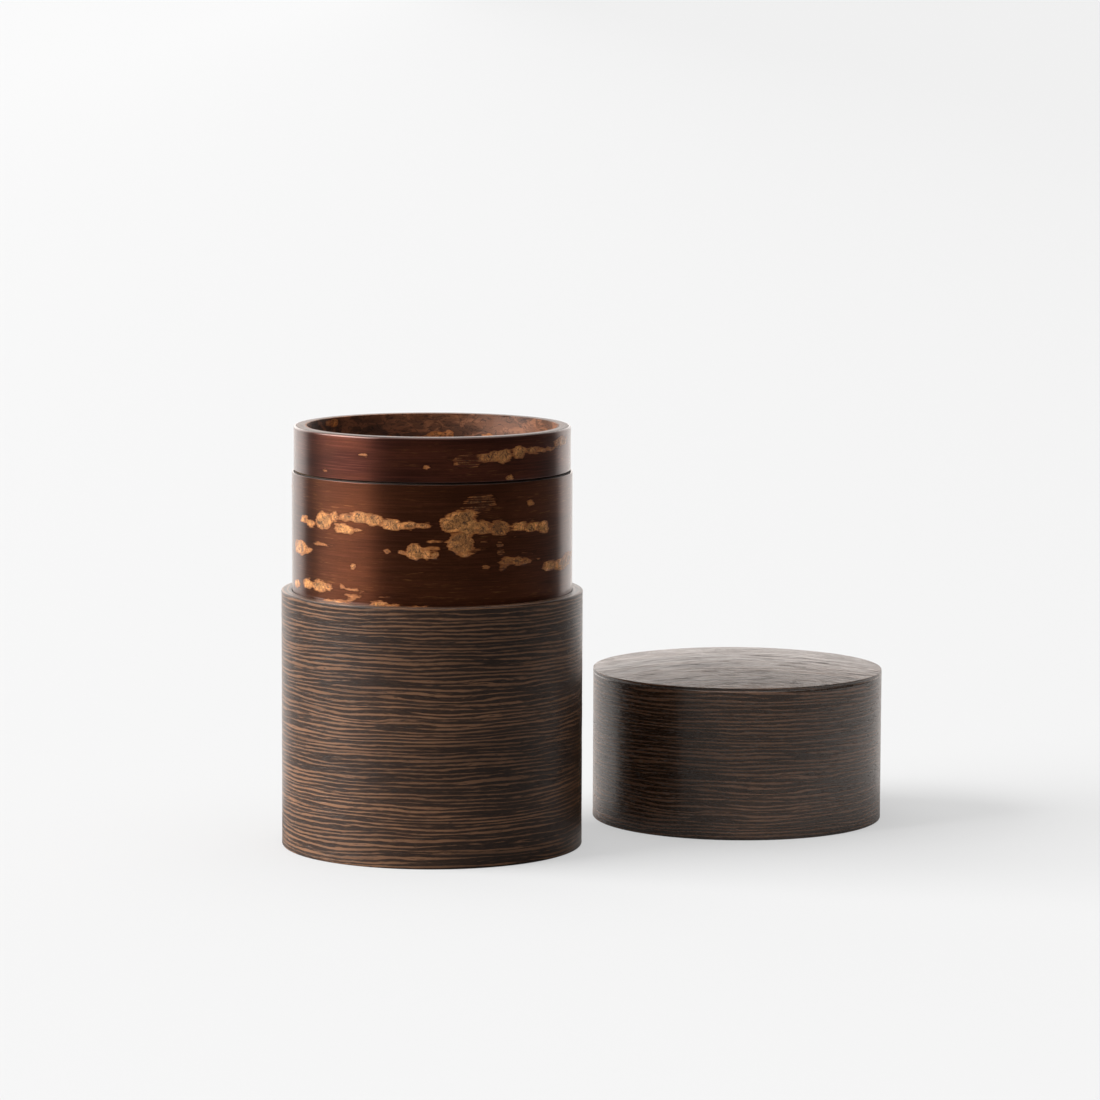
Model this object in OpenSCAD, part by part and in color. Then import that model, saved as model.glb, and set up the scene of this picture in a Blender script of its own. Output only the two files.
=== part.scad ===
// Round tea caddy: a striped hardwood sleeve around a cherry-bark canister,
// a cup-shaped inner lid that plugs the canister, and a domed outer lid set down beside it.
// Millimetres, +Z up, origin at the centre of the caddy's foot.

/* [Body] */
// Outside diameter of the wood sleeve
outer_d = 80; // [70:1:100]
// Height of the wood sleeve
sleeve_h = 68.3; // [50:0.1:90]
// Wall of the wood sleeve
sleeve_wall = 2.8; // [2.5:0.1:4]
// Thickness of the foot plate inside the sleeve
foot_plate = 4; // [3:0.5:6]
// Height of the bark neck that shows between the sleeve and the inner lid
neck_h = 31.8; // [20:0.2:45]

/* [Bark and core] */
// Thickness of the polished bark sheet outside the canister and the inner lid
bark_sheet = 0.6; // [0.4:0.1:0.8]
// Thickness of the bark sheet that lines the inside surfaces
bark_lining = 0.5; // [0.4:0.1:0.6]
// Wall of the wood core between the two bark sheets
core_wall = 2.4; // [2:0.1:3]

/* [Inner lid] */
// Height of the inner lid's rim above the seam
rim_h = 11.9; // [9:0.1:16]
// How far the rim stands back from the face of the neck
rim_setback = 0.5; // [0.2:0.1:0.6]
// Thickness of the inner lid's wood floor
plug_floor = 3; // [2.5:0.5:4]
// How far the plug reaches down into the canister
plug_depth = 9; // [7:0.5:14]
// Radial clearance of the plug in the canister's mouth
plug_play = 0.1; // [0.05:0.01:0.1]

/* [Outer lid] */
// How far the outer lid's side stands back from the sleeve's
lid_setback = 0.35; // [0:0.05:0.5]
// Height of the outer lid up to its top corner
lid_h = 41.2; // [34:0.1:50]
// Rise of the dome above that corner
dome_rise = 3.3; // [2:0.1:6]
// Thickness of the top veneer
top_veneer = 0.8; // [0.6:0.1:1.2]
// Radial clearance of the outer lid over the neck
lid_play = 0.1; // [0.05:0.01:0.15]
// Thickness of the outer lid's top at its corner
lid_top_wall = 3; // [2:0.5:5]
// Gap between the caddy and the outer lid set down beside it
lid_gap = 14; // [2:0.5:60]
// Direction of the outer lid from the caddy, turned from +X towards +Y
lid_turn = 26.3; // [0:0.1:90]

/* [Hidden] */
$fn = 180;
cut = 1;
edge_round = 0.35;
rim_round = 1;
rim_inner_round = 0.45;
seam_groove = 0.5;
seat_gap = 0.05;
arc_steps = 6;

outer_r = outer_d / 2;
neck_r = outer_r - sleeve_wall;
core_r = neck_r - bark_sheet;
core_bore_r = core_r - core_wall;
mouth_r = core_bore_r - bark_lining;
floor_z = foot_plate + bark_lining;
seam_z = sleeve_h + neck_h;

rim_r = neck_r - rim_setback;
rim_core_r = rim_r - bark_sheet;
rim_top = seam_z + rim_h;
plug_r = mouth_r - plug_play;
plug_wall = 3;
plug_low = seam_z - plug_depth;
plug_top = seam_z + 1.5;
tray_z = plug_top + bark_lining;

lid_r = outer_r - lid_setback;
lid_bore_r = neck_r + lid_play;
lid_depth = lid_h - lid_top_wall;
lid_wood_r = lid_bore_r + bark_sheet;
dome_r = (lid_r * lid_r + dome_rise * dome_rise) / (2 * dome_rise);
dome_z = lid_h + dome_rise - dome_r;

// Points of an arc in the profile plane, from angle a0 to a1.
function arc(x, z, r, a0, a1) =
    [for (i = [0:arc_steps]) let (a = a0 + (a1 - a0) * i / arc_steps) [x + r * cos(a), z + r * sin(a)]];

// A shape turned around the Z axis from the points of its half section.
module turned(points) {
    rotate_extrude() polygon(points);
}

module disc(r, z_low, z_high) {
    translate([0, 0, z_low]) cylinder(h = z_high - z_low, r = r);
}

module tube(r_in, r_out, z_low, z_high) {
    difference() {
        disc(r_out, z_low, z_high);
        disc(r_in, z_low - cut, z_high + cut);
    }
}

// The ball whose cap is the outer lid's dome, less a skin of the given thickness.
module dome_ball(skin) {
    translate([0, 0, dome_z]) sphere(r = dome_r - skin);
}

module at_outer_lid() {
    away = outer_r + lid_r + lid_gap;
    translate([away * cos(lid_turn), away * sin(lid_turn), 0]) children();
}

module base_plate() {
    color("#33251f") disc(neck_r, 0, foot_plate);
}

module body_wood_sleeve() {
    color("#4a3226") turned(concat(
        [[neck_r, 0]],
        arc(outer_r - edge_round, edge_round, edge_round, -90, 0),
        arc(outer_r - edge_round, sleeve_h - edge_round, edge_round, 0, 90),
        [[neck_r, sleeve_h]]
    ));
}

module canister_core() {
    color("#9c7650") tube(core_bore_r, core_r, foot_plate, seam_z);
}

module canister_bark_wrap() {
    wrap_top = seam_z - seam_groove / 2;
    color("#4a2217") turned(concat(
        [[core_r, foot_plate], [neck_r, foot_plate]],
        arc(neck_r - edge_round, wrap_top - edge_round, edge_round, 0, 90),
        [[core_r, wrap_top]]
    ));
}

module canister_bark_lining() {
    color("#5a3018") tube(mouth_r, core_bore_r, floor_z, seam_z);
}

module canister_floor_bark() {
    color("#5a3018") disc(core_bore_r, foot_plate, floor_z);
}

// The inner lid's rim is one rounded section, shared out between wrap, core and lining.
module rim_section() {
    polygon(concat(
        [[plug_r - bark_lining, seam_z + seat_gap], [rim_r, seam_z + seat_gap]],
        arc(rim_r - rim_round, rim_top - rim_round, rim_round, 0, 90),
        arc(plug_r - bark_lining + rim_inner_round, rim_top - rim_inner_round, rim_inner_round, 90, 180)
    ));
}

module rim_layer(r_in, r_out, z_low) {
    rotate_extrude() intersection() {
        rim_section();
        translate([r_in, z_low]) square([r_out - r_in, rim_h + cut]);
    }
}

module inner_lid_rim_core() {
    color("#9c7650") rim_layer(plug_r, rim_core_r, seam_z);
}

module inner_lid_bark_wrap() {
    color("#4a2217") rim_layer(rim_core_r, rim_r, seam_z + seam_groove / 2);
}

module inner_lid_bark_lining() {
    color("#6b3f22") rim_layer(plug_r - bark_lining, plug_r, tray_z);
}

module inner_lid_plug() {
    color("#9c7650") difference() {
        disc(plug_r, plug_low, plug_top);
        disc(plug_r - plug_wall, plug_low - cut, plug_top - plug_floor);
    }
}

module inner_lid_floor_bark() {
    color("#6b3f22") disc(plug_r, plug_top, tray_z);
}

module inner_lid_underside_bark() {
    under_z = plug_top - plug_floor;
    color("#5a3018") disc(plug_r - plug_wall, under_z - bark_lining, under_z);
}

module outer_lid_wood_sleeve() {
    color("#33251f") at_outer_lid() intersection() {
        turned(concat(
            [[lid_wood_r, 0]],
            arc(lid_r - edge_round, edge_round, edge_round, -90, 0),
            [[lid_r, lid_h], [lid_wood_r, lid_h]]
        ));
        dome_ball(top_veneer);
    }
}

module outer_lid_top_veneer() {
    color("#5b514c") at_outer_lid() difference() {
        intersection() {
            disc(lid_r, lid_h - 2 * top_veneer, lid_h + dome_rise + cut);
            dome_ball(0);
        }
        dome_ball(top_veneer);
    }
}

module outer_lid_top_core() {
    color("#9c7650") at_outer_lid() intersection() {
        disc(lid_wood_r, lid_depth + bark_lining, lid_h + dome_rise);
        dome_ball(top_veneer);
    }
}

module outer_lid_bark_lining() {
    color("#5a3018") at_outer_lid() tube(lid_bore_r, lid_wood_r, edge_round, lid_depth + bark_lining);
}

module outer_lid_ceiling_bark() {
    color("#5a3018") at_outer_lid() disc(lid_bore_r, lid_depth, lid_depth + bark_lining);
}

base_plate();
body_wood_sleeve();
canister_core();
canister_bark_wrap();
canister_bark_lining();
canister_floor_bark();
inner_lid_rim_core();
inner_lid_plug();
inner_lid_bark_wrap();
inner_lid_bark_lining();
inner_lid_floor_bark();
inner_lid_underside_bark();
outer_lid_wood_sleeve();
outer_lid_top_veneer();
outer_lid_top_core();
outer_lid_bark_lining();
outer_lid_ceiling_bark();
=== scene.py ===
"""The looks of the tea caddy: turned hardwood and polished cherry bark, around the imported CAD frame."""

import math

import bpy
import numpy as np
from mathutils import Matrix, Vector


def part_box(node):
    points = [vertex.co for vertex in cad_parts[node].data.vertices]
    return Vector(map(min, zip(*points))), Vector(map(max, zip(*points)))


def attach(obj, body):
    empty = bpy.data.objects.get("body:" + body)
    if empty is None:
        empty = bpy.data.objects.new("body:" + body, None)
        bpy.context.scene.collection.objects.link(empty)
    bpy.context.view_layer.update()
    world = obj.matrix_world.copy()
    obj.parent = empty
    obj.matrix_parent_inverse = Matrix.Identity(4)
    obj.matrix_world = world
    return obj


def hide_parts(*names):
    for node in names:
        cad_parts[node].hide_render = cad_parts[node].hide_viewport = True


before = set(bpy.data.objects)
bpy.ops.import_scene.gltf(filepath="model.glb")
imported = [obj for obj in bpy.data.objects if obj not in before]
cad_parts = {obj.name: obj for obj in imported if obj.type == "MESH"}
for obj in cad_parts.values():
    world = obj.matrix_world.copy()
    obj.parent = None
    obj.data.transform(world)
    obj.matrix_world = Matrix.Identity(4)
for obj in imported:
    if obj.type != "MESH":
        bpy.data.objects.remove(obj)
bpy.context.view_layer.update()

MM = 0.001
ARC_STEPS = 6  # points in a rounded corner
PLAY = 0.04 * MM  # how far the polished bark stays under the CAD surface
WALL_RADIUS = 38  # mm, where the sizes in a wall's material are true


# ---------------------------------------------------------------- places, from the CAD frame

def radius(node):
    low_corner, high_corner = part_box(node)
    return (high_corner.x - low_corner.x) / 2


def low(node):
    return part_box(node)[0].z


def high(node):
    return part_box(node)[1].z


def axis_of(node):
    """Where the vertical axis of a round node stands."""
    low_corner, high_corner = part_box(node)
    return Vector(((low_corner.x + high_corner.x) / 2, (low_corner.y + high_corner.y) / 2, 0))


# ---------------------------------------------------------------- turned meshes

def outward(edge):
    return np.array((edge[1], -edge[0])) / math.hypot(*edge)


def cut(points, step, closed):
    """The same outline with its stretches cut no longer than step, which is a length, or a function of a
    stretch's middle."""
    pairs = list(zip(points, points[1:] + points[:1] if closed else points[1:]))
    finer = []
    for start, end in pairs:
        start, end = np.array(start), np.array(end)
        size = step((start + end) / 2) if callable(step) else step
        count = max(1, math.ceil(np.linalg.norm(end - start) / size))
        finer += [start + (end - start) * i / count for i in range(count)]
    return np.array(finer if closed else finer + [np.array(points[-1])])


def fillet(before, corner, after, size):
    """The points of an arc of that radius in the corner of an outline that runs counterclockwise."""
    before, corner, after = map(np.array, (before, corner, after))
    first, last = outward(corner - before), outward(after - corner)
    middle = corner - (first + last) * size / (1 + first @ last)
    turn = math.acos(first @ last)
    points = []
    for share in np.linspace(0, 1, ARC_STEPS):
        way = first * math.sin((1 - share) * turn) + last * math.sin(share * turn)
        points.append(tuple(middle + size * way / math.sin(turn)))
    return points


def rounded(corners, step):
    """A closed outline from corners (radius, height, fillet), counterclockwise."""
    points = []
    for i, (r, z, size) in enumerate(corners):
        before, after = corners[i - 1][:2], corners[(i + 1) % len(corners)][:2]
        points += fillet(before, (r, z), after, size) if size else [(r, z)]
    return cut(points, step, True)


def finer_outside(face, bottom, step):
    """A step for cut(): fine on the outer face, above bottom, and coarse where another piece hides it."""
    skin, coarse = MM, 3 * MM
    return lambda middle: step if middle[0] > face - skin and middle[1] > bottom else coarse


def outline_normals(outline, closed):
    along = np.roll(outline, -1, 0) - np.roll(outline, 1, 0)
    if not closed:
        along[0] = outline[1] - outline[0]
        along[-1] = outline[-1] - outline[-2]
    return np.stack((along[:, 1], -along[:, 0]), 1) / np.linalg.norm(along, axis=1)[:, None]


def trim(face, bottom, top):
    """A quad at a pole as a triangle: all points of the first or last ring become that ring's first."""
    merged = [min(bottom) if p in bottom else min(top) if p in top else p for p in face]
    return [p for i, p in enumerate(merged) if p != merged[i - 1]]


def ring_faces(rings, columns, closed):
    """Faces between each ring of points and the next. An open outline ends in a pole at both ends."""
    index = np.arange(rings * columns).reshape(rings, columns)
    right = np.roll(index, -1, 1)
    faces = []
    for k in range(rings if closed else rings - 1):
        above = (k + 1) % rings
        faces.append(np.stack((index[k], right[k], right[above], index[above]), 1))
    faces = np.concatenate(faces).tolist()
    if closed:
        return faces
    bottom, top = set(index[0].tolist()), set(index[-1].tolist())
    return [trim(face, bottom, top) for face in faces]


def turned(name, outline, place, columns, closed=True, relief=None, fields=None):
    """A mesh of the outline turned around the vertical axis at place. The angle is 0 towards the viewer
    and grows to the right. relief(angle, radius, height) gives metres along the outward normal, and
    fields names more such functions, which are stored on the points."""
    angles = np.linspace(0, 2 * math.pi, columns, endpoint=False)
    normals = outline_normals(outline, closed)
    angle = np.broadcast_to(angles, (len(outline), columns))
    r = np.broadcast_to(outline[:, :1], angle.shape)
    z = np.broadcast_to(outline[:, 1:], angle.shape)
    push = relief(angle, r, z) if relief else np.zeros(angle.shape)
    r_out = r + push * normals[:, :1]
    z_out = z + push * normals[:, 1:]
    points = np.stack((r_out * np.sin(angle), -r_out * np.cos(angle), z_out), 2)
    faces = ring_faces(len(outline), columns, closed)

    mesh = bpy.data.meshes.new(name)
    mesh.from_pydata(points.reshape(-1, 3).tolist(), [], faces)
    for key, make in (fields or {}).items():
        store = mesh.attributes.new(key, "FLOAT", "POINT")
        store.data.foreach_set("value", make(angle, r, z).astype(np.float32).ravel())
    mesh.polygons.foreach_set("use_smooth", [True] * len(mesh.polygons))
    mesh.validate()
    piece = bpy.data.objects.new(name, mesh)
    piece.location = place
    bpy.context.scene.collection.objects.link(piece)
    return piece


# ---------------------------------------------------------------- relief and bark knots

def ripple(seed, around, along):
    """Smooth bumps of about unit height that close up around a wall. The finest are around mm long and
    along mm high."""
    count = 28

    def height(angle, r, z):
        draw = np.random.default_rng(seed)
        whole_turn = 2 * math.pi * float(r.max()) / MM
        total = np.zeros(angle.shape)
        for _ in range(count):
            turns = draw.integers(1, max(2, int(whole_turn / around)))
            rate = draw.uniform(-1, 1) * 2 * math.pi / along
            total += np.sin(turns * angle + rate * (z - r) / MM + draw.uniform(0, 2 * math.pi))
        return total / math.sqrt(count)

    return height


def nearest_knot(knots, angle, r, z):
    """How deep each point lies inside a knot, in mm and negative outside; the tone of the knots around it;
    and the crease between two lumps, 1 where they meet. Neighbouring knots flow into each other."""
    flow, crease_width, crease_reach, far, trace = 0.22, 0.16, 0.15, 9.0, 1e-6
    total, toned = np.full(angle.shape, trace), np.zeros(angle.shape)
    first, second = np.full(angle.shape, -far), np.full(angle.shape, -far)
    for degrees, level, half_length, half_height, shade in knots:
        turn = (angle - math.radians(degrees) + math.pi) % (2 * math.pi) - math.pi
        across = turn * r / MM / half_length
        up = (z / MM - level) / half_height
        inside = (1 - np.hypot(across, up)) * min(half_length, half_height)
        weight = np.exp(inside / flow)
        total += weight
        toned += weight * shade
        second = np.maximum(second, np.minimum(first, inside))
        first = np.maximum(first, inside)
    meeting = np.clip(1 - (first - second) / crease_width, 0, 1)
    crease = meeting * np.clip(second / crease_reach + 1, 0, 1)
    return flow * np.log(total), toned / total, crease


def knot_fields(knots):
    def field(index):
        return lambda angle, r, z: nearest_knot(knots, angle, r, z)[index]

    return {"knot": field(0), "tone": field(1), "crease": field(2)}


def scattered_knots(seed, count, levels, angles=(0, 360), tones=(0.4, 0.9), largest=1.0):
    """Chains of knots like those of cherry bark: a fat lump or two, and thin ones that trail off along the
    grain."""
    draw = np.random.default_rng(seed)
    knots = []
    for _ in range(count):
        degrees, level = draw.uniform(*angles), draw.uniform(*levels)
        tone, size = draw.uniform(*tones), draw.uniform(0.35, 1) * largest
        for _ in range(draw.integers(1, 6)):
            half_length = draw.uniform(1.2, 3.6) * size
            half_height = draw.uniform(0.5, 2.0) * size
            knots.append((degrees, level, half_length, half_height, tone))
            degrees += draw.uniform(3, 7) * size
            level += draw.uniform(-0.8, 0.8) * size
            size *= draw.uniform(0.6, 1.0)
    return knots


# Knots of the neck on the side that faces the viewer: angle in degrees, height, half length and half height
# in mm, and tone, from about 0.3 where the lacquer dims them to 1.2 for the palest. They were read off the
# photo by eye, a scratch program turned the readings into these units, and some rows were then adjusted.
NECK_KNOTS = [
    # the long chain on the left
    (-64.5, 88.8, 2.4, 1.1, 0.75), (-58.5, 87.9, 2.2, 1.0, 0.8), (-49.5, 89.1, 3.3, 2.5, 1),
    (-43, 90.6, 1.6, 1.3, 1), (-37.5, 90.6, 2.6, 1, 1), (-30.5, 90.9, 2.8, 1.6, 0.85),
    (-24, 90.5, 2.8, 1.6, 0.8), (-16.5, 89.3, 2.9, 1.5, 0.8), (-9.5, 89.4, 3.3, 1, 0.75),
    (-4, 89.3, 2.3, 0.7, 0.6), (-38, 87.6, 3.5, 1.4, 1), (-32, 87.6, 1.5, 0.3, 0.7),
    # the big lump right of the middle, and the bar behind it
    (7.5, 89.8, 3.2, 2.3, 0.7), (12, 91.4, 4, 2, 0.75), (14.5, 89, 3, 2.3, 0.85),
    (11.5, 84.8, 3.7, 2.9, 0.6), (20.5, 88.8, 2.5, 1.8, 0.6), (28, 88.3, 2.8, 2.2, 0.5),
    (38, 88.4, 3, 1.3, 1.15), (44, 87.9, 2.9, 1.4, 1.2), (51, 87.5, 2.5, 1.6, 1.2),
    (44.5, 89.8, 0.8, 0.2, 0.5), (13.5, 81.7, 1.9, 0.6, 0.8),
    # the lump below the middle
    (-18, 82.6, 0.9, 0.8, 0.45), (-12, 82.4, 1.5, 0.6, 0.6), (-7, 82.4, 2.3, 2.3, 0.7),
    (-2.5, 82.1, 1.3, 1.5, 0.8), (1, 81.7, 1.1, 1.1, 0.75), (-0.5, 85.2, 1.7, 0.3, 0.5),
    (1.2, 83.3, 1.4, 0.4, 0.5),
    # left edge and lower left
    (-69, 81, 4.9, 2, 0.8), (-62.5, 80.9, 3, 0.8, 0.8), (-50.5, 82.9, 2.2, 0.4, 0.6),
    (-33.5, 78.1, 0.8, 0.8, 0.75), (-61, 71.9, 2.9, 1.5, 0.95), (-52.5, 71.9, 3.3, 1.8, 0.95),
    (-47, 71.8, 1.7, 1, 0.9), (-73, 71.1, 2.6, 1.1, 0.8), (-39, 72.6, 0.7, 0.5, 0.5),
    (-34, 71.8, 2.1, 0.3, 0.6), (-33.5, 70.3, 2, 0.4, 0.55), (-35, 69, 0.9, 0.3, 0.5),
    (-17.5, 70.8, 1.9, 0.4, 0.35), (-45, 68.1, 5, 0.5, 0.7), (-40.5, 68.2, 1.8, 0.6, 0.9),
    (-22, 68.5, 2.6, 0.9, 0.8), (-15.5, 68.2, 2.6, 0.6, 0.7), (-7.5, 68.0, 3.3, 0.5, 0.6),
    # right of the middle, under the lacquer
    (21.5, 85, 0.8, 0.3, 0.4), (20, 82.9, 1.7, 0.4, 0.35), (35.5, 85.7, 0.8, 0.2, 0.4),
    (28, 84.1, 1, 0.9, 0.35), (28.5, 82, 1.2, 1, 0.3), (31, 79.5, 2.3, 1.2, 0.45),
    (36.5, 79.3, 2.3, 1.2, 0.65), (41, 79, 1.7, 0.9, 0.55), (29.5, 78, 1.2, 0.8, 0.4),
    (41, 81.2, 2.3, 0.4, 0.3), (22, 78.3, 1.1, 0.5, 0.5), (48, 79.4, 0.9, 0.3, 0.5),
    (55.5, 77.2, 3.2, 1.4, 1.1), (67, 76.8, 6, 1.7, 1), (75.5, 78.2, 5.1, 1.2, 0.85),
    (43.5, 94.4, 1.2, 0.8, 0.6), (20, 95.2, 4.4, 2.4, 0.38), (16, 94.6, 2.6, 1.4, 0.36),
]

# Knots of the inner lid's rim, in the same terms.
RIM_KNOTS = [
    (14, 105.9, 4.4, 1.7, 0.38), (18, 106.4, 2.4, 0.5, 0.45), (22, 106.7, 2.5, 1.1, 0.5),
    (26, 107.1, 2, 1.3, 0.6), (30.5, 106.8, 2.6, 1.8, 0.75), (38, 107.5, 2.5, 1.7, 0.75),
    (44.5, 107.8, 2.9, 1, 0.65), (51.5, 107.6, 4.2, 0.7, 0.6), (33.5, 101, 1.3, 0.8, 0.8),
    (68, 109, 4.2, 1.2, 0.8), (62.5, 108.5, 1.7, 0.4, 0.6), (-28.5, 107.1, 0.8, 0.3, 0.7),
    (-48.5, 102.2, 0.7, 0.3, 0.6), (-2.5, 104.5, 1, 0.7, 0.5),
]


# ---------------------------------------------------------------- shader trees

class Tree:
    """The nodes of a new material, or of the world, added by short calls that return sockets."""

    def __init__(self, name, owner=None):
        self.material = owner or bpy.data.materials.new(name)
        self.material.use_nodes = True
        self.nodes = self.material.node_tree.nodes
        self.links = self.material.node_tree.links
        self.nodes.clear()

    def feed(self, socket, value):
        if isinstance(value, bpy.types.NodeSocket):
            self.links.new(value, socket)
        else:
            socket.default_value = value

    def add(self, kind, values=None, **settings):
        node = self.nodes.new("ShaderNode" + kind)
        for key, value in settings.items():
            setattr(node, key, value)
        for key, value in (values or {}).items():
            self.feed(node.inputs[key], value)
        return node

    def math(self, operation, a, b=0.0, c=0.0):
        return self.add("Math", {0: a, 1: b, 2: c}, operation=operation).outputs[0]

    def vector(self, operation, a, b=(0, 0, 0)):
        return self.add("VectorMath", {0: a, 1: b}, operation=operation).outputs[0]

    def scaled(self, vector, factor):
        node = self.add("VectorMath", {0: vector}, operation="SCALE")
        self.feed(node.inputs["Scale"], factor)
        return node.outputs[0]

    def span(self, value, low_in, high_in, low_out=0.0, high_out=1.0):
        """value from low_in to high_in as low_out to high_out, eased and clamped."""
        values = {
            "Value": value, "From Min": low_in, "From Max": high_in,
            "To Min": low_out, "To Max": high_out,
        }
        return self.add("MapRange", values, interpolation_type="SMOOTHSTEP").outputs[0]

    def noise(self, vector, detail=2.0, rough=0.5, twist=0.0):
        values = {"Vector": vector, "Scale": 1.0, "Detail": detail, "Roughness": rough, "Distortion": twist}
        return self.add("TexNoise", values).outputs["Fac"]

    def cells(self, vector, warp):
        """How far each point lies from the borders of cells of about size 1, which a noise bends."""
        bend = self.add("TexNoise", {"Vector": vector, "Scale": 1.3, "Detail": 2.0}).outputs["Color"]
        bent = self.vector("ADD", vector, self.scaled(bend, warp))
        values = {"Vector": bent, "Scale": 1.0}
        return self.add("TexVoronoi", values, feature="DISTANCE_TO_EDGE").outputs["Distance"]

    def mix(self, share, a, b, blend="MIX"):
        node = self.add("Mix", {0: share}, data_type="RGBA", blend_type=blend, clamp_factor=True)
        self.feed(node.inputs[6], a)
        self.feed(node.inputs[7], b)
        return node.outputs[2]

    def dim(self, colour, factor):
        """The colour times a number."""
        grey = self.add("CombineColor", {0: factor, 1: factor, 2: factor}).outputs[0]
        return self.mix(1.0, colour, grey, "MULTIPLY")

    def store(self, name):
        return self.add("Attribute", attribute_name=name).outputs["Fac"]

    def bump(self, height, depth):
        """A normal from a height of 0 to 1 that stands for that depth, in metres."""
        return self.add("Bump", {"Height": height, "Strength": 1.0, "Distance": depth}).outputs[0]

    def finish(self, colour, roughness, normal, metallic=0.0, coat_normal=None, **constants):
        """The shader. With Anisotropic given, highlights stretch up and down the wall, across the grain."""
        values = {"Base Color": colour, "Roughness": roughness, "Normal": normal, "Metallic": metallic}
        if coat_normal:
            values["Coat Normal"] = coat_normal
        shader = self.add("BsdfPrincipled", values)
        if "Anisotropic" in constants:
            shader.inputs["Anisotropic Rotation"].default_value = 0.25
            around = self.add("Tangent", direction_type="RADIAL", axis="Z").outputs[0]
            self.links.new(around, shader.inputs["Tangent"])
        for key, value in constants.items():
            shader.inputs[key.replace("_", " ")].default_value = value
        output = self.add("OutputMaterial")
        self.links.new(shader.outputs[0], output.inputs["Surface"])
        return self.material


def rgb(red, green, blue):
    return (red, green, blue, 1.0)


def darker(colour, share):
    return rgb(*(share * part for part in colour[:3]))


class Wall:
    """Coordinates on anything turned: around the axis, and up the wall and on across its rim."""

    def __init__(self, tree, offset=0.0):
        self.tree = tree
        self.place = tree.add("TexCoord").outputs["Object"]
        x, y, z = tree.add("SeparateXYZ", {0: self.place}).outputs
        self.level = z
        flat = tree.add("CombineXYZ", {0: x, 1: y, 2: 0.0}).outputs[0]
        self.reach = tree.add("VectorMath", {0: flat}, operation="LENGTH").outputs["Value"]
        self.direction = tree.vector("NORMALIZE", flat)
        self.height = tree.math("MULTIPLY_ADD", tree.math("SUBTRACT", z, self.reach), 1 / MM, offset)

    def stretched(self, around, along, height=None):
        """A vector on which features of size 1 are around mm long and along mm high."""
        level = self.tree.math("DIVIDE", self.height if height is None else height, along)
        upright = self.tree.add("CombineXYZ", {0: 0.0, 1: 0.0, 2: level}).outputs[0]
        return self.tree.vector("ADD", self.tree.scaled(self.direction, WALL_RADIUS / around), upright)

    def solid(self, size):
        """A vector on which features of size 1 are size mm each way."""
        return self.tree.scaled(self.place, 1 / (size * MM))


class Sheet(Wall):
    """Coordinates on a sheet that lies flat, with its grain from side to side."""

    def stretched(self, around, along, height=None):
        x, y, _ = self.tree.add("SeparateXYZ", {0: self.place}).outputs
        length = self.tree.math("DIVIDE", x, around * MM)
        width = self.tree.math("DIVIDE", y, along * MM)
        return self.tree.add("CombineXYZ", {0: length, 1: width, 2: 0.0}).outputs[0]


def bent_grain(t, wall):
    """The height up the wall, in mm, bent into the slow and quick waves of the grain."""
    slow = t.noise(wall.stretched(75, 12), 2.0)
    quick = t.noise(wall.stretched(20, 2.6), 2.0)
    return t.math("MULTIPLY_ADD", quick, 1.5, t.math("MULTIPLY_ADD", slow, 4.5, wall.height))


def stripes(t, wall, bent, period=1.05):
    """1 on the light stripes and 0 on the dark ones, period mm apart, with fine light speckle on both."""
    wave = t.math("SINE", t.math("MULTIPLY", bent, 2 * math.pi / period))
    lines = t.math("SUBTRACT", t.noise(wall.stretched(32, 0.9, bent), 3.0, 0.6), 0.5)
    hair = t.math("SUBTRACT", t.noise(wall.stretched(4, 0.2, bent), 2.0, 0.6), 0.5)
    mixed = t.math("MULTIPLY_ADD", wave, 0.5, t.math("MULTIPLY", lines, 3.4))
    mixed = t.math("MULTIPLY_ADD", hair, 1.6, mixed)
    patches = t.noise(wall.stretched(26, 2.6, bent), 2.0)
    stripe = t.math("MULTIPLY", t.span(mixed, 0.02, 0.42), t.span(patches, 0.2, 0.55, 0.55, 1.0))
    speckle = t.span(t.noise(wall.stretched(2.2, 0.16, bent), 3.0, 0.7), 0.48, 0.70, 0.0, 0.22)
    return t.math("MAXIMUM", stripe, speckle)


def striped_hardwood(name, dark, light, offset, roughness, foot=1.0, **gloss):
    """Dark oiled hardwood with fine wavy stripes that run around the wall, broken by short open pores.
    The lowest part of the wall is painted lighter by the given factor: partly the wood's own tone, partly
    painted light bounced up from the floor."""
    t = Tree(name)
    wall = Wall(t, offset)
    bent = bent_grain(t, wall)
    stripe = stripes(t, wall, bent)
    pores = t.span(t.noise(wall.stretched(2.6, 0.2, bent), 2.0, 0.6), 0.57, 0.70)
    broad = t.span(t.noise(wall.stretched(90, 14), 1.0), 0.3, 0.7, 0.85, 1.15)
    # The lowest part of the wall is painted lighter: partly the wood's own tone, partly painted light
    # bounced up from the floor.
    broad = t.math("MULTIPLY", broad, t.span(wall.level, 14 * MM, 24 * MM, foot, 1.0))
    colour = t.dim(t.mix(stripe, dark, light), broad)
    colour = t.mix(t.math("MULTIPLY", pores, 0.6), colour, darker(dark, 0.4))
    height = t.math("MULTIPLY_ADD", stripe, 0.4, t.math("SUBTRACT", 1.0, pores))
    roughness = t.math("MULTIPLY_ADD", pores, 0.25, roughness)
    normal = t.bump(height, 0.03 * MM)
    return t.finish(colour, roughness, normal, coat_normal=normal, **gloss)


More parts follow.
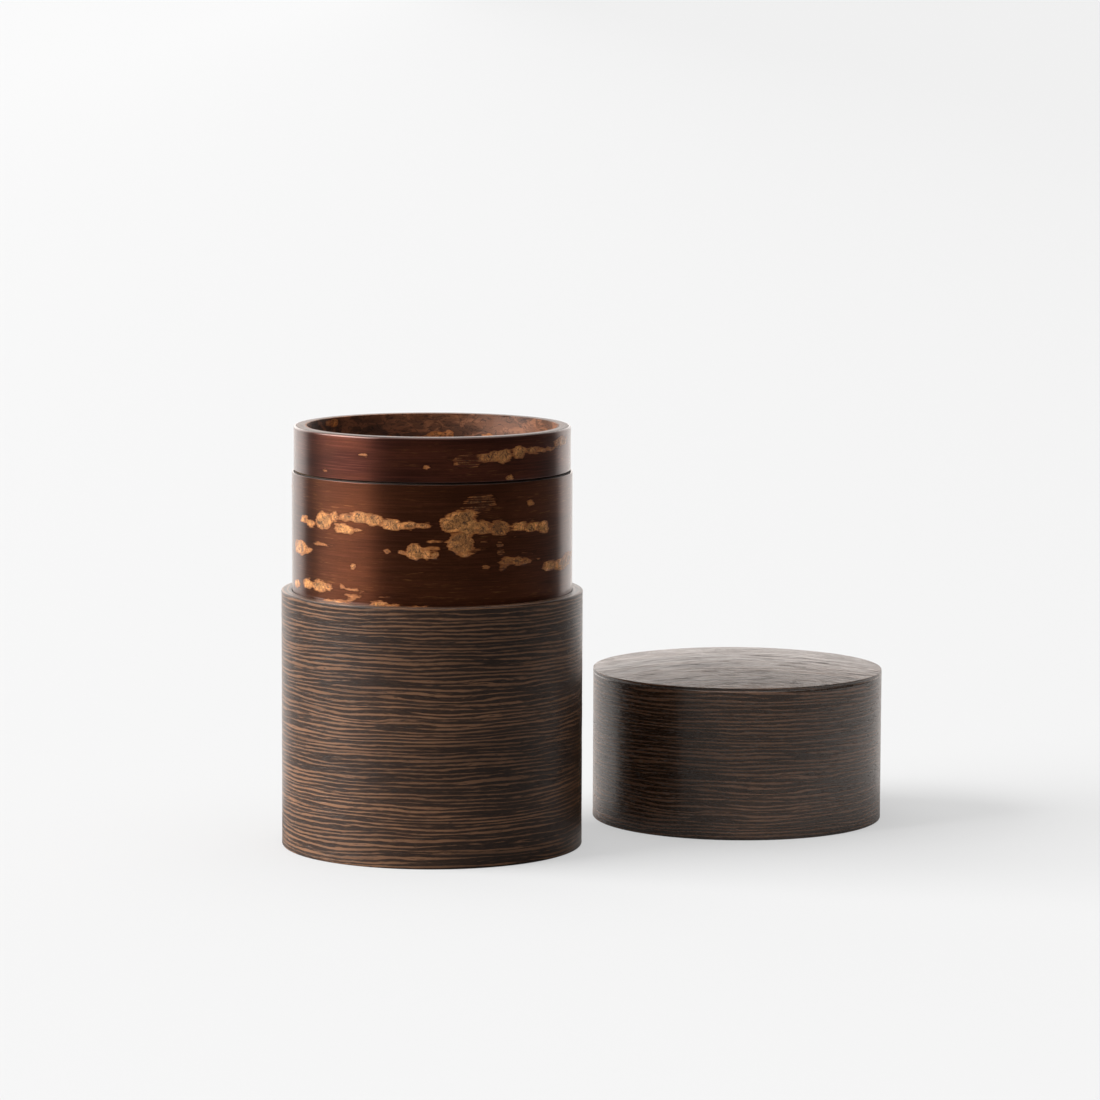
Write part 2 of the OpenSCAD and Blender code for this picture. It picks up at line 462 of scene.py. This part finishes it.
def straight_hardwood(name, dark, light):
    """Dark oiled veneer with straight grain from side to side and short dark open pores."""
    t = Tree(name)
    place = t.add("TexCoord").outputs["Object"]
    x, y, z = t.add("SeparateXYZ", {0: place}).outputs

    def grain(length, width, shift):
        values = {0: t.math("MULTIPLY_ADD", x, 1 / (length * MM), shift),
                  1: t.math("MULTIPLY", y, 1 / (width * MM)), 2: t.math("MULTIPLY", z, 0.1 / MM)}
        return t.add("CombineXYZ", values).outputs[0]

    lines = t.noise(grain(60, 0.9, 3.1), 3.0, 0.55, 0.3)
    pores = t.span(t.noise(grain(8, 0.42, 7.7), 2.0, 0.6), 0.54, 0.64)
    broad = t.span(t.noise(grain(70, 9, 1.3), 1.0), 0.3, 0.7, 0.85, 1.15)
    colour = t.dim(t.mix(t.span(lines, 0.4, 0.62), dark, light), broad)
    colour = t.mix(t.math("MULTIPLY", pores, 0.8), colour, darker(dark, 0.3))
    fibre = t.span(t.noise(grain(22, 0.45, 4.2), 3.0, 0.6), 0.42, 0.62, 0.0, 0.12)
    height = t.math("MULTIPLY_ADD", fibre, 3.0, t.math("SUBTRACT", 1.0, pores))
    roughness = t.math("ADD", t.math("MULTIPLY_ADD", pores, 0.5, 0.10), fibre)
    return t.finish(colour, roughness, t.bump(height, 0.12 * MM), Specular_IOR_Level=0.5, IOR=1.62)


def flaked(t, wall, base):
    """A colour broken into lighter and darker flakes by dark cracks, as on the raw side of bark."""
    flake = t.noise(wall.stretched(6, 2.4), 3.0, 0.6, 0.8)
    crack = t.math("ABSOLUTE", t.math("SUBTRACT", t.noise(wall.stretched(5, 2), 3.0, 0.6, 1.0), 0.5))
    base = t.mix(t.span(flake, 0.48, 0.60, 0.0, 0.55), base, rgb(0.30, 0.12, 0.055))
    return t.dim(base, t.span(crack, 0.0, 0.03, 0.3, 1.0))


def bark_ground(t, wall, ground, deep, gloss):
    """The bark between the knots: cloudy, with fine lines and short light flecks along the grain."""
    cloud = t.noise(wall.stretched(34, 10), 2.0)
    streak = t.noise(wall.stretched(14, 0.5), 4.0, 0.65)
    grain = t.noise(wall.solid(0.3), 2.0, 0.6)
    flecks = t.noise(wall.stretched(4, 0.2), 2.0, 0.5)
    colour = t.mix(t.span(cloud, 0.3, 0.7), deep, ground)
    colour = t.dim(colour, t.span(streak, 0.25, 0.75, 0.80, 1.22))
    colour = t.dim(colour, t.span(grain, 0.25, 0.75, 0.90, 1.10))
    hairs = t.span(t.noise(wall.stretched(16, 0.28), 3.0, 0.6), 0.48, 0.70, 0.0, 0.35)
    amber = rgb(1.7 * ground[0], 1.7 * ground[1], 2.4 * ground[2])
    colour = t.mix(t.math("MULTIPLY", hairs, gloss), colour, amber)
    faint = t.math("MULTIPLY", t.span(flecks, 0.60, 0.74), t.span(cloud, 0.42, 0.60, 0.0, 0.5))
    return t.mix(faint, colour, rgb(0.34, 0.14, 0.045)), streak


def knot_depth(t, wall):
    """How deep a point lies inside a knot, in mm, with an edge that is lumpy and frayed along the grain."""
    lump = t.math("SUBTRACT", t.noise(wall.stretched(3.4, 1.1), 2.0), 0.5)
    grit = t.math("SUBTRACT", t.noise(wall.stretched(2.2, 0.32), 3.0, 0.6), 0.5)
    depth = t.math("MULTIPLY_ADD", lump, 1.5, t.store("knot"))
    return t.math("MULTIPLY_ADD", grit, 1.1, depth)


def knot_share(t, wall, depth, tone):
    """1 on a knot and 0 off it. Dim knots show less, and the dimmest only as dashes along the grain."""
    dashes = t.span(t.noise(wall.stretched(7, 0.36), 2.0, 0.5), 0.48, 0.56)
    whole = t.math("MAXIMUM", dashes, t.span(tone, 0.40, 0.46))
    share = t.math("MULTIPLY", t.span(depth, -0.10, 0.20), t.span(tone, 0.15, 0.5, 0.5, 1.0))
    return t.math("MULTIPLY", share, whole)


def folds(t, vector, detail, twist):
    """0 along curved lines and larger between them."""
    return t.math("ABSOLUTE", t.math("SUBTRACT", t.noise(vector, detail, 0.5, twist), 0.5))


def knot_light_and_shade(t, wall, depth):
    """How light the cork is painted at each point: painted highlights and shadows in broad patches, darker
    towards the middle of a knot, and painted shade in its folds and pits and where two lumps meet.
    """
    lumps = t.cells(wall.solid(2.4), 1.6)
    lumps = t.math("ADD", lumps, t.span(t.noise(wall.solid(1.7), 2.0), 0.42, 0.60, 0.0, 0.12))
    # Darker towards the middle of a knot, and painted shade in its folds, between its lumps, in its pits
    # and where two knots meet.
    shades = (
        t.span(depth, 0.35, 1.6, 1.12, 0.85),
        t.span(folds(t, wall.solid(2.6), 2.0, 1.6), 0.0, 0.04, 0.30, 1.0),
        t.span(folds(t, wall.solid(1.5), 1.0, 2.0), 0.0, 0.06, 0.55, 1.05),
        t.span(lumps, 0.01, 0.11, 0.28, 1.0),
        t.span(t.noise(wall.solid(0.6), 3.0, 0.6), 0.34, 0.46, 0.72, 1.05),
        t.math("MULTIPLY_ADD", t.store("crease"), -0.5, 1.0),
    )
    # Broad painted highlights and shadows on the cork, times the painted shades above.
    light_and_shade = t.span(t.noise(wall.solid(2.2), 3.0, 0.6), 0.3, 0.7, 0.55, 1.3)
    for shade in shades:
        light_and_shade = t.math("MULTIPLY", light_and_shade, shade)
    return light_and_shade


def cherry_bark(name, ground, deep, gloss, offset=0.0, coat=0.8, coat_roughness=0.06, lies=Wall):
    """Cherry bark: a red-brown ground with a silky lustre, and tan corky knots where the mesh says.
    gloss is 1 for a polished sheet and 0 for a raw one."""
    t = Tree(name)
    wall = lies(t, offset)
    base, streak = bark_ground(t, wall, ground, deep, gloss)
    if not gloss:
        base = flaked(t, wall, base)

    depth, tone = knot_depth(t, wall), t.store("tone")
    inside = knot_share(t, wall, depth, tone)
    # Painted highlights and shade on the knots; the darkest parts also sink as pits.
    light_and_shade = knot_light_and_shade(t, wall, depth)
    cork = t.mix(t.span(tone, 0.2, 1.0), rgb(0.26, 0.085, 0.018), rgb(0.68, 0.285, 0.078))
    cork = t.dim(cork, t.math("MULTIPLY", light_and_shade, t.span(tone, 0.98, 1.2, 1.0, 1.35)))
    cork = t.mix(t.span(depth, 0.02, 0.75, 0.9, 0.0), cork, rgb(0.36, 0.115, 0.024))
    edge = t.math("SUBTRACT", t.span(depth, -0.45, 0.0), t.span(depth, -0.06, 0.14))
    colour = t.mix(t.math("MULTIPLY", edge, 0.4), base, darker(deep, 0.45))
    colour = t.mix(inside, colour, cork)

    pits = t.math("MULTIPLY", t.math("SUBTRACT", 1.0, light_and_shade), inside)
    height = t.math("MULTIPLY_ADD", pits, -0.9, t.math("MULTIPLY", inside, 0.6))
    height = t.math("MULTIPLY_ADD", streak, 0.25 - 0.2 * gloss, height)
    roughness = t.math("MULTIPLY_ADD", inside, 0.15 * gloss, 0.62 - 0.2 * gloss)
    lustre = t.math("MULTIPLY", t.math("SUBTRACT", 1.0, inside), 0.85 * gloss)
    return t.finish(colour, roughness, t.bump(height, 0.08 * MM), lustre, Anisotropic=0.8,
                    Coat_Weight=coat * gloss, Coat_Roughness=coat_roughness, Coat_IOR=1.5,
                    Specular_IOR_Level=0.4, IOR=1.5)


def plain_wood(name, dark, light, roughness, gloss=0.0, glue_and_shade_line=1.0):
    """Light close-grained wood with growth lines around the axis, nearly black beyond the given radius: a
    glue line where the rim's top shows it, and painted shade where the seam's gap shows it."""
    t = Tree(name)
    wall = Wall(t)
    lines = t.noise(wall.stretched(60, 0.8), 3.0, 0.6)
    hair = t.noise(wall.stretched(7, 0.3), 2.0, 0.5)
    colour = t.mix(t.span(lines, 0.35, 0.65), dark, light)
    colour = t.dim(colour, t.span(hair, 0.3, 0.7, 0.88, 1.12))
    # Nearly black beyond that radius: a glue line on the rim's top, and painted shade in the seam's gap.
    colour = t.mix(t.span(wall.reach, glue_and_shade_line - 0.4 * MM, glue_and_shade_line), colour, rgb(0.006, 0.003, 0.002))
    uneven = t.span(hair, 0.3, 0.7, roughness - 0.05, roughness + 0.08)
    return t.finish(colour, uneven, t.bump(hair, 0.03 * MM), Specular_IOR_Level=0.4, Coat_Weight=gloss,
                    Coat_Roughness=0.12)


# ---------------------------------------------------------------- the stage: camera, light and floor

# The camera's place, its lens in mm, and how far it looks down, looks aside and leans, in radians. All are
# from a fit to the photo.
EYE = Vector((0, -1.2648, 0.2303))
LENS = 157.1
DOWN, ASIDE, LEAN = 0.1193, 0.0247, 0.0038

# How bright the parts of the room are, and how much brighter the backdrop is on the left.
WINDOW = 10.3
ROOM = 0.05
CEILING = 1.8
BACKDROP = 1.35
BACKDROP_LEFT = 1.6
ROOM_IN_VIEW = 0.90

# How white the floor is to all light, and what is added to that in gloss and in the camera's view.
PAPER = 0.22
PAPER_IN_GLOSS = 0.34
PAPER_IN_VIEW = 0.06
# The floor's own light towards the camera, and how much more of it is on the left and less on the right.
PAPER_LIFT = 0.44
LIFT_SLOPE = 0.045
# The sheet that gloss sees around the object: how much of it in front and at the side, and where it ends.
FRONT_SHEET = 0.38
SIDE_SHEET = 0.9
SHEET_ENDS = (0.38, 0.52)
FLOOR_REACH = 100

# The tint of the room and the floor in gloss.
WARM = rgb(1.0, 0.945, 0.905)
WHITE = rgb(1, 1, 1)


def camera():
    """A long lens a little above the caddy's top, aimed slightly down and to the right."""
    lens = bpy.data.cameras.new("camera")
    lens.sensor_width = 36
    lens.lens = LENS
    ahead = Vector((math.sin(ASIDE) * math.cos(DOWN), math.cos(ASIDE) * math.cos(DOWN), -math.sin(DOWN)))
    level = Vector((math.cos(ASIDE), -math.sin(ASIDE), 0))
    upright = level.cross(ahead)
    right = level * math.cos(LEAN) + upright * math.sin(LEAN)
    up = upright * math.cos(LEAN) - level * math.sin(LEAN)
    turn = Matrix((right, up, -ahead)).transposed().to_4x4()
    eye = bpy.data.objects.new("camera", lens)
    eye.matrix_world = Matrix.Translation(EYE) @ turn
    bpy.context.scene.collection.objects.link(eye)
    bpy.context.scene.camera = eye


def bearing(t, x, y):
    """The direction of (x, y), in radians from the viewer's side, positive to the right."""
    return t.math("ARCTAN2", x, t.math("MULTIPLY", y, -1.0))


def sector(t, turn, first, last, soft=4):
    """1 between two bearings, in degrees."""
    rise = t.span(turn, math.radians(first - soft), math.radians(first + soft))
    fall = t.span(turn, math.radians(last - soft), math.radians(last + soft), 1.0, 0.0)
    return t.math("MULTIPLY", rise, fall)


def backdrop(t, turn):
    """1 behind the object and 0 around the rest."""
    return t.span(t.math("ABSOLUTE", turn), math.radians(120), math.radians(136))


def room_glow(t, x, y, z):
    """How bright each direction is: a backdrop behind, a window high on the left, and a dim ceiling."""
    turn = bearing(t, x, y)
    glow = t.span(z, 0.60, 0.95, ROOM, CEILING)
    screen = t.math("MULTIPLY", backdrop(t, turn), t.span(z, 0.15, 0.85, BACKDROP, ROOM))
    screen = t.math("MULTIPLY", screen, t.span(x, -0.6, 0.3, BACKDROP_LEFT, 1.0))
    window = t.math("MULTIPLY", t.span(z, 0.08, 0.18), t.span(z, 0.70, 0.78, 1.0, 0.0))
    window = t.math("MULTIPLY", window, sector(t, turn, -110, -54))
    return t.math("MULTIPLY_ADD", window, WINDOW, t.math("MAXIMUM", glow, screen))


def studio():
    """The room around the object. The camera sees it as even pale grey."""
    world = bpy.data.worlds.new("studio")
    bpy.context.scene.world = world
    t = Tree("studio", world)
    x, y, z = t.add("SeparateXYZ", {0: t.add("TexCoord").outputs["Generated"]}).outputs
    path = t.add("LightPath")
    in_gloss, in_view = path.outputs["Is Glossy Ray"], path.outputs["Is Camera Ray"]
    unseen = t.math("MULTIPLY", t.math("SUBTRACT", 1.0, in_view), room_glow(t, x, y, z))
    strength = t.math("ADD", t.math("MULTIPLY", in_view, ROOM_IN_VIEW), unseen)
    background = t.add("Background", {"Color": t.mix(in_gloss, WHITE, WARM), "Strength": strength})
    t.links.new(background.outputs[0], t.add("OutputWorld").inputs["Surface"])


def sheet_in_gloss(t, x, y):
    """1 where gloss sees the floor: a sheet around the object's front and sides, and all of it behind."""
    away = t.math("SQRT", t.math("ADD", t.math("MULTIPLY", x, x), t.math("MULTIPLY", y, y)))
    turn = bearing(t, x, y)
    share = t.span(turn, 0.9, 1.6, FRONT_SHEET, SIDE_SHEET)
    near = t.math("MULTIPLY", t.span(away, *SHEET_ENDS, 1.0, 0.0), share)
    return t.math("MAXIMUM", near, backdrop(t, turn))


def paper():
    """Matt and pale, with a little light of its own that only the camera sees."""
    t = Tree("floor_paper")
    x, y, _ = t.add("SeparateXYZ", {0: t.add("TexCoord").outputs["Object"]}).outputs
    path = t.add("LightPath")
    in_gloss, in_view = path.outputs["Is Glossy Ray"], path.outputs["Is Camera Ray"]
    hidden = t.math("MULTIPLY", in_gloss, t.math("SUBTRACT", 1.0, sheet_in_gloss(t, x, y)))
    white = t.math("MULTIPLY_ADD", in_view, PAPER_IN_VIEW, PAPER)
    white = t.math("MULTIPLY_ADD", in_gloss, PAPER_IN_GLOSS, white)
    white = t.math("MULTIPLY", white, t.math("SUBTRACT", 1.0, hidden))
    matt = t.add("BsdfDiffuse", {"Color": t.dim(t.mix(in_gloss, WHITE, WARM), white)})
    lift = t.span(x, -1.0, 1.2, PAPER_LIFT + LIFT_SLOPE, PAPER_LIFT - LIFT_SLOPE)
    lift = t.add("Emission", {"Color": WHITE, "Strength": t.math("MULTIPLY", in_view, lift)})
    both = t.add("AddShader", {0: matt.outputs[0], 1: lift.outputs[0]})
    t.links.new(both.outputs[0], t.add("OutputMaterial").inputs["Surface"])
    return t.material


def floor():
    """An endless pale floor."""
    reach = FLOOR_REACH
    corners = [(-reach, -reach, 0), (reach, -reach, 0), (reach, reach, 0), (-reach, reach, 0)]
    mesh = bpy.data.meshes.new("floor")
    mesh.from_pydata(corners, [], [(0, 1, 2, 3)])
    mesh.materials.append(paper())
    plane = bpy.data.objects.new("floor", mesh)
    bpy.context.scene.collection.objects.link(plane)


# ---------------------------------------------------------------- the pieces

# Where the two axes stand, and how thick the caddy's bark lining is.
CADDY = Vector((0, 0, 0))
LID = axis_of("outer_lid_wood_sleeve")
SHEET = high("canister_floor_bark") - low("canister_floor_bark")

# The ground and deep colours of raw bark, and the dark and light colours of plain wood.
RAW_BARK = rgb(0.17, 0.065, 0.028), rgb(0.06, 0.024, 0.012)
CORE_WOOD = rgb(0.27, 0.15, 0.08), rgb(0.42, 0.26, 0.14)


def dress(piece, material, body, node):
    """Gives a piece its material and its body, and hides the CAD node that it stands for."""
    piece.data.materials.append(material)
    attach(piece, body)
    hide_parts(node)


def wood_relief(node, top, sunk, grain_seed, swell_seed=None):
    """Fine ridges along the grain of a sleeve's outer face, and slow swells where they have a seed. The
    face is sunk by that many mm, so that the ridges stay within the CAD shape."""
    grain_height, swell_height, face_skin, margin = 0.010, 0.012, 0.05 * MM, MM
    outer, base = radius(node), low(node)
    grain = ripple(grain_seed, 40, 1.1)
    swell = ripple(swell_seed, 25, 9) if swell_seed else None

    def relief(angle, r, z):
        outside = (r > outer - face_skin) & (z > base + margin) & (z < top - margin)
        height = grain_height * grain(angle, r, z) - sunk
        if swell:
            height += swell_height * swell(angle, r, z)
        return np.where(outside, height * MM, 0)

    return relief


def wood_sleeve(name, node, body, place, corners, relief, wood):
    step = finer_outside(radius(node), low(node), 0.6 * MM)
    piece = turned(name, rounded(corners, step), place, columns=400, relief=relief)
    dress(piece, wood, body, node)


def body_sleeve():
    node = "body_wood_sleeve"
    outer, inner, base, top = radius(node), radius("base_plate"), low(node), high(node)
    corners = [
        (inner, base, 0.1 * MM), (outer, base, 0.45 * MM),
        (outer, top, 0.40 * MM), (inner, top, 0.30 * MM),
    ]
    relief = wood_relief(node, top, sunk=0.03, grain_seed=12, swell_seed=11)
    dark, light = rgb(0.024, 0.012, 0.007), rgb(0.195, 0.096, 0.050)
    # The foot is painted lighter, partly for light bounced up from the floor.
    wood = striped_hardwood("body_hardwood", dark, light, offset=0.0, roughness=0.47, foot=1.25,
                            Specular_IOR_Level=0.25, Coat_Weight=1.0, Coat_Roughness=0.28, Coat_IOR=1.2)
    wood_sleeve("body_sleeve_wood", node, "caddy", CADDY, corners, relief, wood)


def lid_sleeve():
    node = "outer_lid_wood_sleeve"
    outer, inner, base = radius(node), radius("outer_lid_bark_lining"), low(node)
    top = low("outer_lid_top_veneer")
    corners = [(inner, base, 0.2 * MM), (outer, base, 0.35 * MM), (outer, top, 0), (inner, top, 0)]
    relief = wood_relief(node, top, sunk=0.02, grain_seed=22)
    dark, light = rgb(0.036, 0.018, 0.010), rgb(0.205, 0.108, 0.064)
    wood = striped_hardwood("lid_hardwood", dark, light, offset=31.0, roughness=0.25,
                            Specular_IOR_Level=0.5, IOR=1.7)
    wood_sleeve("lid_sleeve_wood", node, "outer_lid", LID, corners, relief, wood)


def lid_top():
    """The domed veneer. Its narrow edge has the side's stripes."""
    node = "outer_lid_top_veneer"
    outer, crown = radius(node), high(node)
    veneer, round_off, steep = 0.8 * MM, 0.16 * MM, 0.5
    corner = low(node) + veneer
    rise = crown - corner
    ball = (outer ** 2 + rise ** 2) / (2 * rise)
    middle = crown - ball

    def dome(r, size):
        return (r, middle + math.sqrt(size ** 2 - r ** 2))

    reach = np.linspace(outer - 0.3 * MM, 0, 90)
    under = [dome(r, ball - veneer) for r in np.linspace(0, outer, 30)]
    edge = fillet(under[-1], (outer, corner), dome(reach[0], ball), round_off)
    over = [dome(r, ball) for r in reach]
    outline = cut(under + edge + over, 0.8 * MM, False)
    piece = turned("lid_top_veneer", outline, LID, columns=360, closed=False)
    wood = straight_hardwood("lid_top_hardwood", rgb(0.040, 0.022, 0.014), rgb(0.125, 0.070, 0.042))
    dress(piece, wood, "outer_lid", node)
    piece.data.materials.append(bpy.data.materials["lid_hardwood"])
    for face in piece.data.polygons:
        face.material_index = int(abs(face.normal.z) < steep)


def bark_sheet(name, node, inner, body, knots, corners, shown_from, material, seed):
    """A polished bark sheet around a wall, with its corky knots standing just proud of it."""
    outer = radius(node) - PLAY
    step = finer_outside(outer + 0.5 * MM, shown_from, 0.32 * MM)
    outline = rounded([(inner, low(node), 0)] + corners(outer) + [(inner, high(node), 0)], step)
    swell = ripple(seed, 14, 5)
    grit = ripple(seed + 1, 1.6, 1.6)
    swell_height, knot_height, grit_height, sunk, tallest = 0.006, 0.03, 0.03, 0.01, 0.04

    def relief(angle, r, z):
        raised = np.clip(nearest_knot(knots, angle, r, z)[0] / 0.5, 0, 1)
        face = np.clip((r - (outer - 0.3 * MM)) / (0.1 * MM), 0, 1)
        height = swell_height * swell(angle, r, z) - sunk
        height += raised * (knot_height + grit_height * grit(angle, r, z))
        return face * np.minimum(height, tallest) * MM

    piece = turned(name, outline, CADDY, columns=460, relief=relief, fields=knot_fields(knots))
    dress(piece, material, body, node)


def lining(name, node, thickness, body, place, material, seed, step, columns, count):
    """A raw bark sheet inside a wall: uneven, with lumps where its knots are."""
    outer = radius(node)
    inner = outer - thickness
    base, top = low(node), high(node)
    corners = [(inner, base, 0), (outer, base, 0), (outer, top, 0), (inner, top, 0.12 * MM)]
    knots = scattered_knots(seed, count, (base / MM, top / MM), tones=(0.3, 0.75))
    swell = ripple(seed, 9, 4)
    grit = ripple(seed + 1, 2.5, 1.6)
    swell_height, knot_height, grit_height, sunk, deepest = 0.035, 0.07, 0.02, 0.10, 0.25

    def relief(angle, r, z):
        face = np.clip((outer - 0.1 * MM - r) / (0.2 * MM), 0, 1)
        raised = np.clip(nearest_knot(knots, angle, r, z)[0] / 0.8, 0, 1)
        height = swell_height * swell(angle, r, z) + grit_height * grit(angle, r, z)
        height += knot_height * raised - sunk
        return face * np.clip(height, -deepest, 0) * MM

    piece = turned(name, rounded(corners, step), place, columns, relief=relief, fields=knot_fields(knots))
    dress(piece, material, body, node)


def lining_disc(name, node, body, place, material, seed, faces_up):
    """A raw bark disc on a floor or under a ceiling, uneven on the side that shows."""
    outer, base, top = radius(node), low(node), high(node)
    outline = cut([(0, base), (outer, base), (outer, top), (0, top)], 1.2 * MM, False)
    knots = scattered_knots(seed, 10, (0, 1))
    swell = ripple(seed, 9, 4)
    swell_height, sunk, deepest, edge, hub = 0.04, 0.06, 0.2, 2 * MM, 6 * MM

    def relief(angle, r, z):
        shown = (z > top - 0.05 * MM) if faces_up else (z < base + 0.05 * MM)
        inland = np.clip((outer - r) / edge, 0, 1) * np.clip(r / hub, 0, 1)
        height = np.clip(swell_height * swell(angle, r, z) - sunk, -deepest, 0)
        return np.where(shown, inland * height * MM, 0)

    def lying_knot(angle, r, z):
        """How deep each point lies inside a knot, in mm. A knot's level is its share of the way out."""
        x, y = r * np.sin(angle) / MM, -r * np.cos(angle) / MM
        depth = np.full(angle.shape, -4.0)
        for degrees, share, half_length, half_height, _ in knots:
            away, turn = share * 0.9 * outer / MM, math.radians(degrees)
            across = (x - away * math.sin(turn)) / half_length
            up = (y + away * math.cos(turn)) / half_height
            depth = np.maximum(depth, (1 - np.hypot(across, up)) * half_height)
        return depth

    fields = {
        "knot": lying_knot,
        "tone": lambda angle, r, z: np.full(angle.shape, 0.5),
        "crease": lambda angle, r, z: np.zeros(angle.shape),
    }
    piece = turned(name, outline, place, columns=160, closed=False, relief=relief, fields=fields)
    dress(piece, material, body, node)


def neck_bark():
    node = "canister_bark_wrap"
    hidden_to = high("body_wood_sleeve") - 2 * MM
    at_the_back = scattered_knots(41, 20, (67, 97), angles=(92, 268), tones=(0.45, 1.0), largest=1.1)
    ground, deep = rgb(0.091, 0.0272, 0.0103), rgb(0.057, 0.0163, 0.0064)
    bark = cherry_bark("neck_bark", ground, deep, gloss=1.0)
    inner = radius("canister_core")

    def corners(outer):
        return [(outer, low(node), 0), (outer, hidden_to, 0), (outer, high(node), 0.1 * MM)]

    knots = NECK_KNOTS + at_the_back
    bark_sheet("neck_bark", node, inner, "caddy", knots, corners, hidden_to, bark, seed=31)


def rim_bark():
    node = "inner_lid_bark_wrap"
    at_the_back = scattered_knots(43, 8, (100, 109), angles=(95, 265), tones=(0.45, 0.9), largest=0.8)
    ground, deep = rgb(0.105, 0.028, 0.013), rgb(0.042, 0.010, 0.005)
    bark = cherry_bark("rim_bark", ground, deep, gloss=1.0, offset=57.0, coat=1.0, coat_roughness=0.17)
    inner = radius("inner_lid_rim_core")

    def corners(outer):
        return [(outer, low(node), 0.12 * MM), (outer, high(node) + 0.1 * MM, 0.45 * MM)]

    knots = RIM_KNOTS + at_the_back
    bark_sheet("rim_bark", node, inner, "inner_lid", knots, corners, low(node), bark, seed=33)


def rim_core():
    node = "inner_lid_rim_core"
    outer, inner = radius(node), radius("inner_lid_plug")
    corners = [
        (inner, low(node), 0), (outer, low(node), 0),
        (outer, high(node), 0.30 * MM), (inner, high(node), 0.1 * MM),
    ]
    piece = turned("rim_core_wood", rounded(corners, 0.5 * MM), CADDY, columns=360)
    dark, light = rgb(0.035, 0.016, 0.009), rgb(0.10, 0.05, 0.03)
    # Nearly black at its outer edge: the glue line on the rim's top, and painted shade in the seam's gap
    # below.
    wood = plain_wood("rim_wood", dark, light, roughness=0.5, gloss=0.3, glue_and_shade_line=outer)
    dress(piece, wood, "inner_lid", node)


def linings():
    """The raw bark sheets inside the walls."""
    caddy_bark = cherry_bark("lining_bark", *RAW_BARK, gloss=0.0, offset=13.0)
    lid_bark = cherry_bark("lid_lining_bark", *RAW_BARK, gloss=0.0, offset=29.0)
    lid_sheet = radius("outer_lid_bark_lining") - radius("outer_lid_ceiling_bark")
    lining("rim_lining", "inner_lid_bark_lining", SHEET, "inner_lid", CADDY, caddy_bark, seed=51,
           step=0.4 * MM, columns=360, count=14)
    lining("canister_lining", "canister_bark_lining", SHEET, "caddy", CADDY, caddy_bark, seed=53,
           step=1.0 * MM, columns=240, count=70)
    lining("lid_lining", "outer_lid_bark_lining", lid_sheet, "outer_lid", LID, lid_bark, seed=55,
           step=0.8 * MM, columns=280, count=30)


def lining_discs():
    """The raw bark discs on the floors and under the lids."""
    flat_bark = cherry_bark("floor_bark", *RAW_BARK, gloss=0.0, lies=Sheet)
    lining_disc("recess_floor", "inner_lid_floor_bark", "inner_lid", CADDY, flat_bark,
                seed=61, faces_up=True)
    lining_disc("canister_floor", "canister_floor_bark", "caddy", CADDY, flat_bark,
                seed=63, faces_up=True)
    lining_disc("plug_underside", "inner_lid_underside_bark", "inner_lid", CADDY, flat_bark,
                seed=65, faces_up=False)
    lining_disc("lid_ceiling", "outer_lid_ceiling_bark", "outer_lid", LID, flat_bark,
                seed=67, faces_up=False)


def paint(node, material):
    """Gives a CAD node that stays visible its material."""
    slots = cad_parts[node].data.materials
    slots.clear()
    slots.append(material)


def bare_woods():
    """The CAD nodes that keep their shape: cores, plug and foot plate."""
    pale = plain_wood("core_wood", *CORE_WOOD, roughness=0.55)
    paint("inner_lid_plug", pale)
    paint("outer_lid_top_core", pale)
    # The canister core is nearly black at its outer edge: painted shade where the seam's gap shows it.
    glue_and_shade_line = radius("canister_core")
    paint("canister_core", plain_wood("canister_wood", *CORE_WOOD, roughness=0.55, glue_and_shade_line=glue_and_shade_line))
    dark, light = rgb(0.016, 0.011, 0.008), rgb(0.115, 0.055, 0.030)
    paint("base_plate", plain_wood("base_wood", dark, light, roughness=0.5))


def main():
    camera()
    studio()
    floor()
    body_sleeve()
    lid_sleeve()
    lid_top()
    neck_bark()
    rim_bark()
    rim_core()
    linings()
    lining_discs()
    bare_woods()
    bpy.context.scene.view_settings.view_transform = "Standard"


main()
